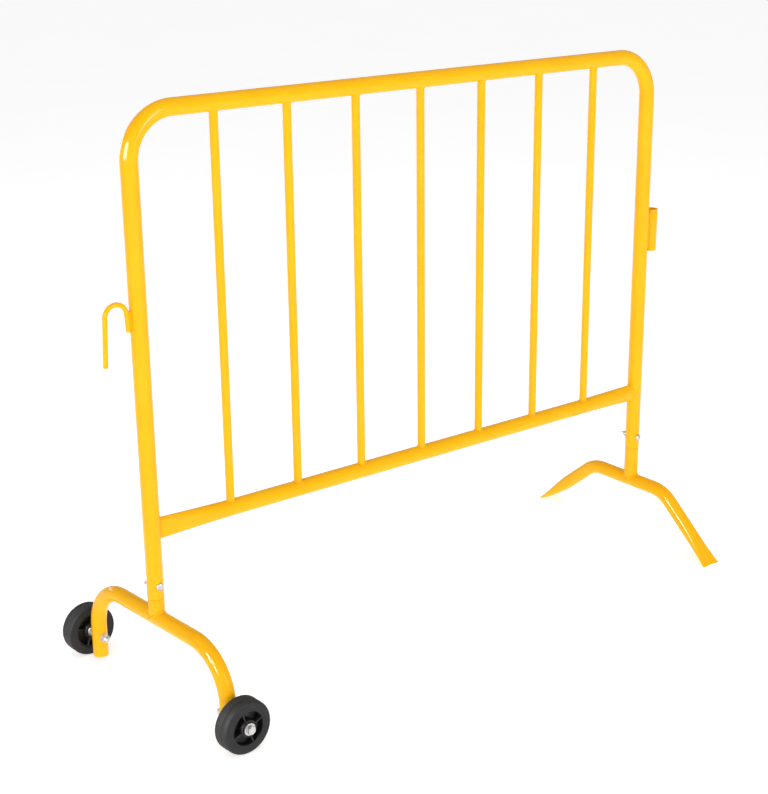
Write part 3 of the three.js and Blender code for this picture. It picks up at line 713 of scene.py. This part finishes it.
def make_plain_arch():
    shares = [i / 24 for i in range(24)]
    overrun = 9 * MM
    corner = {side: Vector((0, PLAIN_ARCH_SHIFT + side * PLAIN_CORNER_REACH, PLAIN_ARCH_Z))
              for side in (-1, 1)}
    front_way = (corner[-1] - leg_point(-1, 0)).normalized()
    back_way = (leg_point(1, 0) - corner[1]).normalized()
    stations = [(leg_point(-1, -overrun), front_way)]
    stations += [(leg_point(-1, share * FLAT_LENGTH), front_way) for share in shares]
    stations += bent_path([leg_point(-1, FLAT_LENGTH), corner[-1], corner[1], leg_point(1, FLAT_LENGTH)],
                          PLAIN_ARCH_BEND)
    stations += [(leg_point(1, share * FLAT_LENGTH), back_way) for share in reversed(shares)]
    stations += [(leg_point(1, -overrun), back_way)]
    mesh = bmesh.new()
    add_tube(mesh, stations, X, FOOT_RADIUS, FOOT_WALL, sides=80, reshape=flatten_tip)
    bmesh.ops.bisect_plane(mesh, geom=mesh.verts[:] + mesh.edges[:] + mesh.faces[:], plane_co=(0, 0, 0),
                           plane_no=(0, 0, 1), clear_inner=True)
    rim = [edge for edge in mesh.edges if edge.is_boundary]
    for side in (-1, 1):
        loops = [edge for edge in rim if (edge.verts[0].co.y - PLAIN_ARCH_SHIFT) * side > 0]
        bmesh.ops.bridge_loops(mesh, edges=loops)
    yellow_piece(mesh, "plain_foot_arch_tube", PLAIN_FOOT, ["plain_foot_arch"])


# ---- Foot bolts -----------------------------------------------------------------------------

def make_foot_bolt(foot):
    low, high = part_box(f"{foot}_bolt")
    centre = middle(f"{foot}_bolt")
    place = Matrix.Translation((centre.x, 0, centre.z)) @ FACING_BACK
    head = (high.x - low.x) / 2
    under = low.y + FOOT_BOLT_HEAD_HEIGHT
    thread_start = 8.5 * MM
    profile = rounded([(0, low.y, 0), (head * 0.62, low.y + 0.15 * MM, 3 * MM),
                       (head, low.y + 1.0 * MM, 1.7 * MM), (head, under, 0.3 * MM),
                       (FOOT_BOLT_RADIUS, under, 0), (FOOT_BOLT_RADIUS, thread_start, 0),
                       (0, thread_start, 0)], 6)
    mesh = bmesh.new()
    add_turned(mesh, [tuple(point) for point in profile], ROD_SIDES)
    add_thread(mesh, FOOT_BOLT_RADIUS, 0.45 * MM, 1.0 * MM, thread_start - 0.1 * MM, high.y)
    zinc_piece(mesh, f"{foot}_bolt_body", "barrier", place, [f"{foot}_bolt"])


def make_washer(node, body, place, bore, thickness, radius):
    """A plain washer with softened edges, along Z of its place."""
    mesh = bmesh.new()
    edge = 0.3 * MM
    profile = rounded([(bore, thickness / 2, 0), (bore, 0, edge), (radius, 0, edge),
                       (radius, thickness, edge), (bore, thickness, edge), (bore, thickness / 2, 0)], 3)
    add_turned(mesh, [tuple(point) for point in profile[:-1]], 48, closed=True)
    zinc_piece(mesh, f"{node}_ring", body, place, [node])


def make_wing_washer(foot):
    node = f"{foot}_wing_washer"
    low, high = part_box(node)
    centre = middle(node)
    place = Matrix.Translation((centre.x, low.y, centre.z)) @ FACING_BACK
    make_washer(node, node, place, WING_BORE, high.y - low.y, (high.z - low.z) / 2)


def make_wing_nut(foot):
    """A cast wing nut: a cone with two ears, melted together by a fine remesh."""
    node = f"{foot}_wing_nut"
    low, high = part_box(node)
    joint = JOINTS[f"{foot}_wing_nut_turn"]
    place = (Matrix.Translation((joint["pos_m"][0], low.y, joint["pos_m"][2]))
             @ Matrix.Rotation(math.radians(WING_NUT_TURNS[foot]), 4, "Y") @ FACING_BACK)
    mesh = bmesh.new()
    cone = rounded([(WING_BORE, 3.5 * MM, 0), (WING_BORE, 0, 0.3 * MM), (5.8 * MM, 0, 0.6 * MM),
                    (4.8 * MM, 7 * MM, 0.6 * MM), (WING_BORE, 7 * MM, 0.3 * MM),
                    (WING_BORE, 3.5 * MM, 0)], 4)
    add_turned(mesh, [tuple(point) for point in cone[:-1]], 40, closed=True)
    for side in (-1, 1):
        outline = [(3.9, 1.2), (5.2, 1.4), (8.0, 4.6), (10.6, 9.0), (11.5, 13.0)]
        outline += [(8.5 + 3 * math.cos(a), 13 + 3 * math.sin(a)) for a in
                    (math.radians(d) for d in range(20, 181, 20))]
        outline += [(5.3, 10.2), (4.6, 7.6), (3.9, 6.2)]
        rings = []
        for level, inset in ((-1.4, 0.5), (-1.0, 0.1), (0.0, 0.0), (1.0, 0.1), (1.4, 0.5)):
            hub = Vector((7.6, 8.6))
            points = [hub + (Vector(p) - hub) * (1 - inset / 4) for p in outline]
            rings.append([Vector((side * p.x, -side * level, p.y)) * MM for p in points])
        caps = [[sum(ring, Vector()) / len(ring)] for ring in (rings[0], rings[-1])]
        add_skin(mesh, [caps[0]] + rings + [caps[1]])
    nut = zinc_piece(mesh, f"{node}_casting", node, place, [node], sharp=60)
    applied(nut, "REMESH", mode="VOXEL", voxel_size=0.22 * MM, use_smooth_shade=True)
    applied(nut, "SMOOTH", factor=0.5, iterations=4)


# ---- Wheels ---------------------------------------------------------------------------------

def wheel_place(wheel):
    """Z runs out along the axle from the foot's middle, and X points level along the barrier."""
    outward = WHEEL_AXIS if wheel == "back_wheel" else -WHEEL_AXIS
    side = Z.cross(outward) * -1
    turn = Matrix((side, outward.cross(side), outward)).transposed().to_4x4()
    return Matrix.Translation((LEFT_X, 0, WHEEL_RADIUS)) @ turn


def reach(node):
    """How far out along the axle a node of the wheel foot starts and ends."""
    low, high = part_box(node)
    size = (high.z - low.z) / 2
    lean = abs(math.sin(WHEEL_FOOT_TURN)) * size
    slant = math.cos(WHEEL_FOOT_TURN)
    ends = sorted((abs(low.y), abs(high.y)))
    return (ends[0] + lean) / slant, (ends[1] - lean) / slant


def nick_depth(point, angle):
    """The share of a tread point's radius that a small nick at the angle takes off."""
    return 0.012 * math.exp(-((math.atan2(point.y, point.x) - angle) / 0.018) ** 2)


def make_tyre(wheel):
    node = f"{wheel}_tyre"
    inner, outer = reach(node)
    half = (outer - inner) / 2
    place = wheel_place(wheel) @ Matrix.Translation((0, 0, (inner + outer) / 2))
    r = WHEEL_RADIUS
    core = 34.3 * MM
    groove = 3.2 * MM
    lip = 32.2 * MM
    corners = [
        (core, 0, 0), (core, -half + 1.2 * MM, 0), (core + 1.0 * MM, -half, 0.5 * MM),
        (r - 2.2 * MM, -half, 0.8 * MM), (r, -half + 1.8 * MM, 1.2 * MM),
        (r, groove, 0.15 * MM), (r - 1.9 * MM, groove + 0.1 * MM, 0.2 * MM),
        (r - 1.9 * MM, groove + 0.8 * MM, 0.2 * MM), (r - 0.1 * MM, groove + 1.0 * MM, 0.2 * MM),
        (r - 0.4 * MM, half - 5.0 * MM, 3 * MM), (r - 3.0 * MM, half - 1.1 * MM, 2.2 * MM),
        (r - 8 * MM, half, 2 * MM), (core + 4.6 * MM, half, 0.3 * MM),
        (core + 4.0 * MM, half - 0.35 * MM, 0.2 * MM),
        (lip, half - 0.4 * MM, 0.25 * MM), (lip, half - 1.0 * MM, 0.1 * MM), (core, half - 1.0 * MM, 0),
        (core, 0, 0)]
    profile = rounded(corners, 4)[:-1]
    mesh = bmesh.new()
    nick = math.radians(128 if wheel == "front_wheel" else 40)
    rings = []
    for point in profile:
        ring = circle(Z * point.y, X, Y, point.x, WHEEL_SIDES)
        if point.x > r - 4 * MM and point.y > 0:
            if point.y < 8 * MM:
                ring = [p * (1 - nick_depth(p, nick)) for p in ring]
            ring = [Vector((p.x, p.y, point.y)) for p in ring]
        rings.append(ring)
    add_skin(mesh, rings, closed=True)
    show(mesh, f"{node}_ring", RUBBER, wheel, place, [node])


def make_hub(wheel):
    node = f"{wheel}_hub"
    tyre_inner, tyre_outer = reach(f"{wheel}_tyre")
    half = (tyre_outer - tyre_inner) / 2 - 1.1 * MM
    place = wheel_place(wheel) @ Matrix.Translation((0, 0, (tyre_inner + tyre_outer) / 2))
    rim, opening, boss, bore = 34 * MM, 32 * MM, 16.5 * MM, 6.9 * MM
    boss_half, web = 17.5 * MM, 2 * MM
    well = boss_half - 1.6 * MM
    draft = 1.0 * MM
    up = [(bore, 0, 0), (bore, boss_half, 0.2 * MM), (11.3 * MM, boss_half, 0.3 * MM),
          (11.6 * MM, well, 0.2 * MM), (13.6 * MM, well, 0.2 * MM),
          (13.9 * MM, boss_half - 0.3 * MM, 0.4 * MM), (boss - 0.6 * MM, boss_half - 0.3 * MM, 0.8 * MM),
          (boss, web, 1.2 * MM), (opening - draft, web, 1.2 * MM),
          (opening, half, 0.8 * MM), (rim, half, 0.6 * MM), (rim, 0, 0)]
    down = [(across, -height, fillet) for across, height, fillet in reversed(up)][1:]
    profile = rounded(up + down, 4)[:-1]
    mesh = bmesh.new()
    add_turned(mesh, [tuple(point) for point in profile], 96, closed=True)
    for k in range(4):
        turn = Matrix.Rotation(math.radians(RIB_TURN + 90 * k), 4, "Z")
        for sign in (-1, 1):
            rings = []
            levels = ((web - 0.5 * MM, 1.5 * MM), (half - 0.8 * MM, 1.2 * MM), (half - 0.4 * MM, 0.9 * MM))
            for level, thick in levels:
                box = [(boss - 1.2 * MM, -thick), (opening + 0.3 * MM, -thick),
                       (opening + 0.3 * MM, thick), (boss - 1.2 * MM, thick)]
                rings.append([turn @ Vector((x, y, sign * level)) for x, y in box])
            caps = [[sum(ring, Vector()) / 4] for ring in (rings[0], rings[-1])]
            add_skin(mesh, [caps[0]] + rings + [caps[1]])
    show(mesh, f"{node}_moulding", PLASTIC, wheel, place, [node])


def make_axle(wheel):
    place = wheel_place(wheel)
    spread = [f"{wheel}_{part}" for part in ("head_washer", "inner_washer", "leg_washer", "lock_washer")]
    for node in spread:
        inner, outer = reach(node)
        make_washer(node, "barrier", place @ Matrix.Translation((0, 0, inner)), AXLE + 0.25 * MM,
                    outer - inner, radius_of(node, 2))
    for part in ("jam_nut", "lock_nut"):
        node = f"{wheel}_{part}"
        inner, outer = reach(node)
        mesh = bmesh.new()
        if part == "jam_nut":
            add_hexagon(mesh, HEX, inner, outer, AXLE + 0.1 * MM, True, True)
        else:
            collar = inner + 2.6 * MM
            joint_z = collar + 1 * MM
            lip = HEX / 2 - 2.0 * MM
            hole = AXLE + 0.2 * MM
            add_hexagon(mesh, HEX, collar, outer, AXLE + 0.1 * MM, True, True)
            shell = rounded([(lip - 1 * MM, joint_z, 0), (lip - 1 * MM, inner + 0.6 * MM, 0.1 * MM),
                             (lip, inner, 0.2 * MM), (HEX / 2 - 1.1 * MM, inner, 0.6 * MM),
                             (HEX / 2 - 0.5 * MM, joint_z, 0.2 * MM), (lip - 1 * MM, joint_z, 0)], 4)
            add_turned(mesh, [tuple(point) for point in shell[:-1]], 48, closed=True)
            nylon = rounded([(hole, joint_z, 0), (hole, inner + 0.5 * MM, 0.3 * MM),
                             (lip - 0.1 * MM, inner + 0.5 * MM, 0.3 * MM), (lip - 0.1 * MM, joint_z, 0),
                             (hole, joint_z, 0)], 3)
            insert = bmesh.new()
            add_turned(insert, [tuple(point) for point in nylon[:-1]], 48, closed=True)
            show(insert, f"{node}_insert", PLASTIC, "barrier", place)
        zinc_piece(mesh, f"{node}_body", "barrier", place, [node])
    node = f"{wheel}_axle_bolt"
    inner, outer = reach(node)
    head = outer - AXLE_HEAD_HEIGHT
    mesh = bmesh.new()
    add_hexagon(mesh, HEX, head + 0.4 * MM, outer, 0, False, True)
    rim = HEX / 2 - 0.4 * MM
    flange = rounded([(0, head, 0), (rim, head, 0.15 * MM), (rim, head + 0.5 * MM, 0),
                      (0, head + 0.5 * MM, 0)], 2)
    add_turned(mesh, [tuple(point) for point in flange], 48)
    thread_end = inner + 45 * MM
    shank_end = head + 0.1 * MM
    add_turned(mesh, [(0, thread_end), (AXLE, thread_end), (AXLE, shank_end), (0, shank_end)], ROD_SIDES)
    flip = Matrix.Translation((0, 0, inner + thread_end)) @ Matrix.Rotation(math.pi, 4, "X")
    threaded = bmesh.new()
    add_thread(threaded, AXLE, 0.7 * MM, 1.5 * MM, inner, thread_end)
    bmesh.ops.transform(threaded, matrix=flip, verts=threaded.verts)
    spare = bpy.data.meshes.new("thread")
    threaded.to_mesh(spare)
    threaded.free()
    mesh.from_mesh(spare)
    bpy.data.meshes.remove(spare)
    zinc_piece(mesh, f"{node}_body", "barrier", place, [node])
    node = f"{wheel}_sleeve"
    inner, outer = reach(node)
    mesh = bmesh.new()
    add_tube(mesh, [(Z * inner, Z), (Z * outer, Z)], X, SLEEVE_RADIUS, SLEEVE_RADIUS - AXLE - 0.25 * MM,
             sides=ROD_SIDES)
    zinc_piece(mesh, f"{node}_tube", "barrier", place, [node])


# ---- Stage ----------------------------------------------------------------------------------

def make_floor():
    mesh = bmesh.new()
    add_skin(mesh, [[Vector()]] + [circle(Vector(), X, Y, r, 96) for r in (1, 4, 12, 40, 90)])
    data = bpy.data.meshes.new("floor")
    mesh.to_mesh(data)
    mesh.free()
    floor = bpy.data.objects.new("floor", data)
    data.materials.append(pale_floor())
    bpy.context.scene.collection.objects.link(floor)


def make_light(name, place, aim, size, power, streak=False):
    """A rectangular soft box. A streak shows in the gloss only, and any other box lights surfaces only."""
    data = bpy.data.lights.new(name, "AREA")
    data.shape = "RECTANGLE"
    data.size, data.size_y = size
    data.energy = power
    light = bpy.data.objects.new(name, data)
    bpy.context.scene.collection.objects.link(light)
    light.location = place
    light.rotation_euler = (Vector(aim) - Vector(place)).to_track_quat("-Z", "Y").to_euler()
    light.visible_camera = False
    light.visible_glossy = streak
    light.visible_diffuse = not streak


def make_lights():
    world = bpy.data.worlds.new("studio")
    world.use_nodes = True
    background = world.node_tree.nodes["Background"]
    background.inputs["Color"].default_value = (1, 1, 1, 1)
    background.inputs["Strength"].default_value = 0.45
    bpy.context.scene.world = world
    make_light("left_strip_front", (-3.5, -1.05, 1.55), (-0.6, -0.1, 1.1), (0.48, 1.3), 190, True)
    make_light("left_strip_back", (-3.6, -0.05, 1.55), (-0.6, -0.1, 1.1), (0.42, 1.3), 155, True)
    make_light("front_strip", (0.5, -3.1, 1.5), (-0.5, 0, 1.0), (0.30, 1.2), 40, True)
    make_light("back_strip", (-0.47, 3.6, 0.95), (-0.47, 0, 0.2), (0.9, 0.6), 6, True)
    make_light("back_strip_far", (-1.5, 3.6, 1.32), (0.3, 0, 0.2), (0.6, 0.45), 10, True)
    make_light("left_fill", (-5.0, -2.5, 2.0), (0, 0, 0.5), (3.0, 2.2), 100)
    make_light("front_fill", (0.3, -4.6, 1.5), (0, 0, 0.7), (2.8, 2.0), 64)
    make_light("top_fill", (0.3, 0.2, 4.2), (0.3, 0, 0), (4.5, 4.5), 30)


def make_camera():
    azimuth, elevation, roll = map(math.radians, (CAMERA_AZIMUTH, CAMERA_ELEVATION, CAMERA_ROLL))
    forward = Vector((-math.sin(azimuth) * math.cos(elevation), math.cos(azimuth) * math.cos(elevation),
                      -math.sin(elevation)))
    level = forward.cross(Z).normalized()
    above = level.cross(forward)
    right = level * math.cos(roll) + above * math.sin(roll)
    up = above * math.cos(roll) - level * math.sin(roll)
    data = bpy.data.cameras.new("camera")
    data.lens = CAMERA_LENS
    data.clip_end = 300
    camera = bpy.data.objects.new("camera", data)
    camera.matrix_world = (Matrix.Translation(CAMERA_PLACE)
                           @ Matrix((right, up, -forward)).transposed().to_4x4())
    bpy.context.scene.collection.objects.link(camera)
    bpy.context.scene.camera = camera


# ---- The whole barrier ----------------------------------------------------------------------

make_camera()
make_lights()
make_floor()
make_hoop()
make_bottom_rail()
make_pickets()
make_hook()
make_socket()
make_wheel_arch()
make_plain_arch()
for foot_name, foot_place in (("wheel_foot", WHEEL_FOOT), ("plain_foot", PLAIN_FOOT)):
    make_stub_and_spigot(foot_name, foot_place)
    make_foot_bolt(foot_name)
    make_wing_washer(foot_name)
    make_wing_nut(foot_name)
for wheel_name in ("front_wheel", "back_wheel"):
    make_tyre(wheel_name)
    make_hub(wheel_name)
    make_axle(wheel_name)

bpy.context.scene.view_settings.view_transform = "Standard"
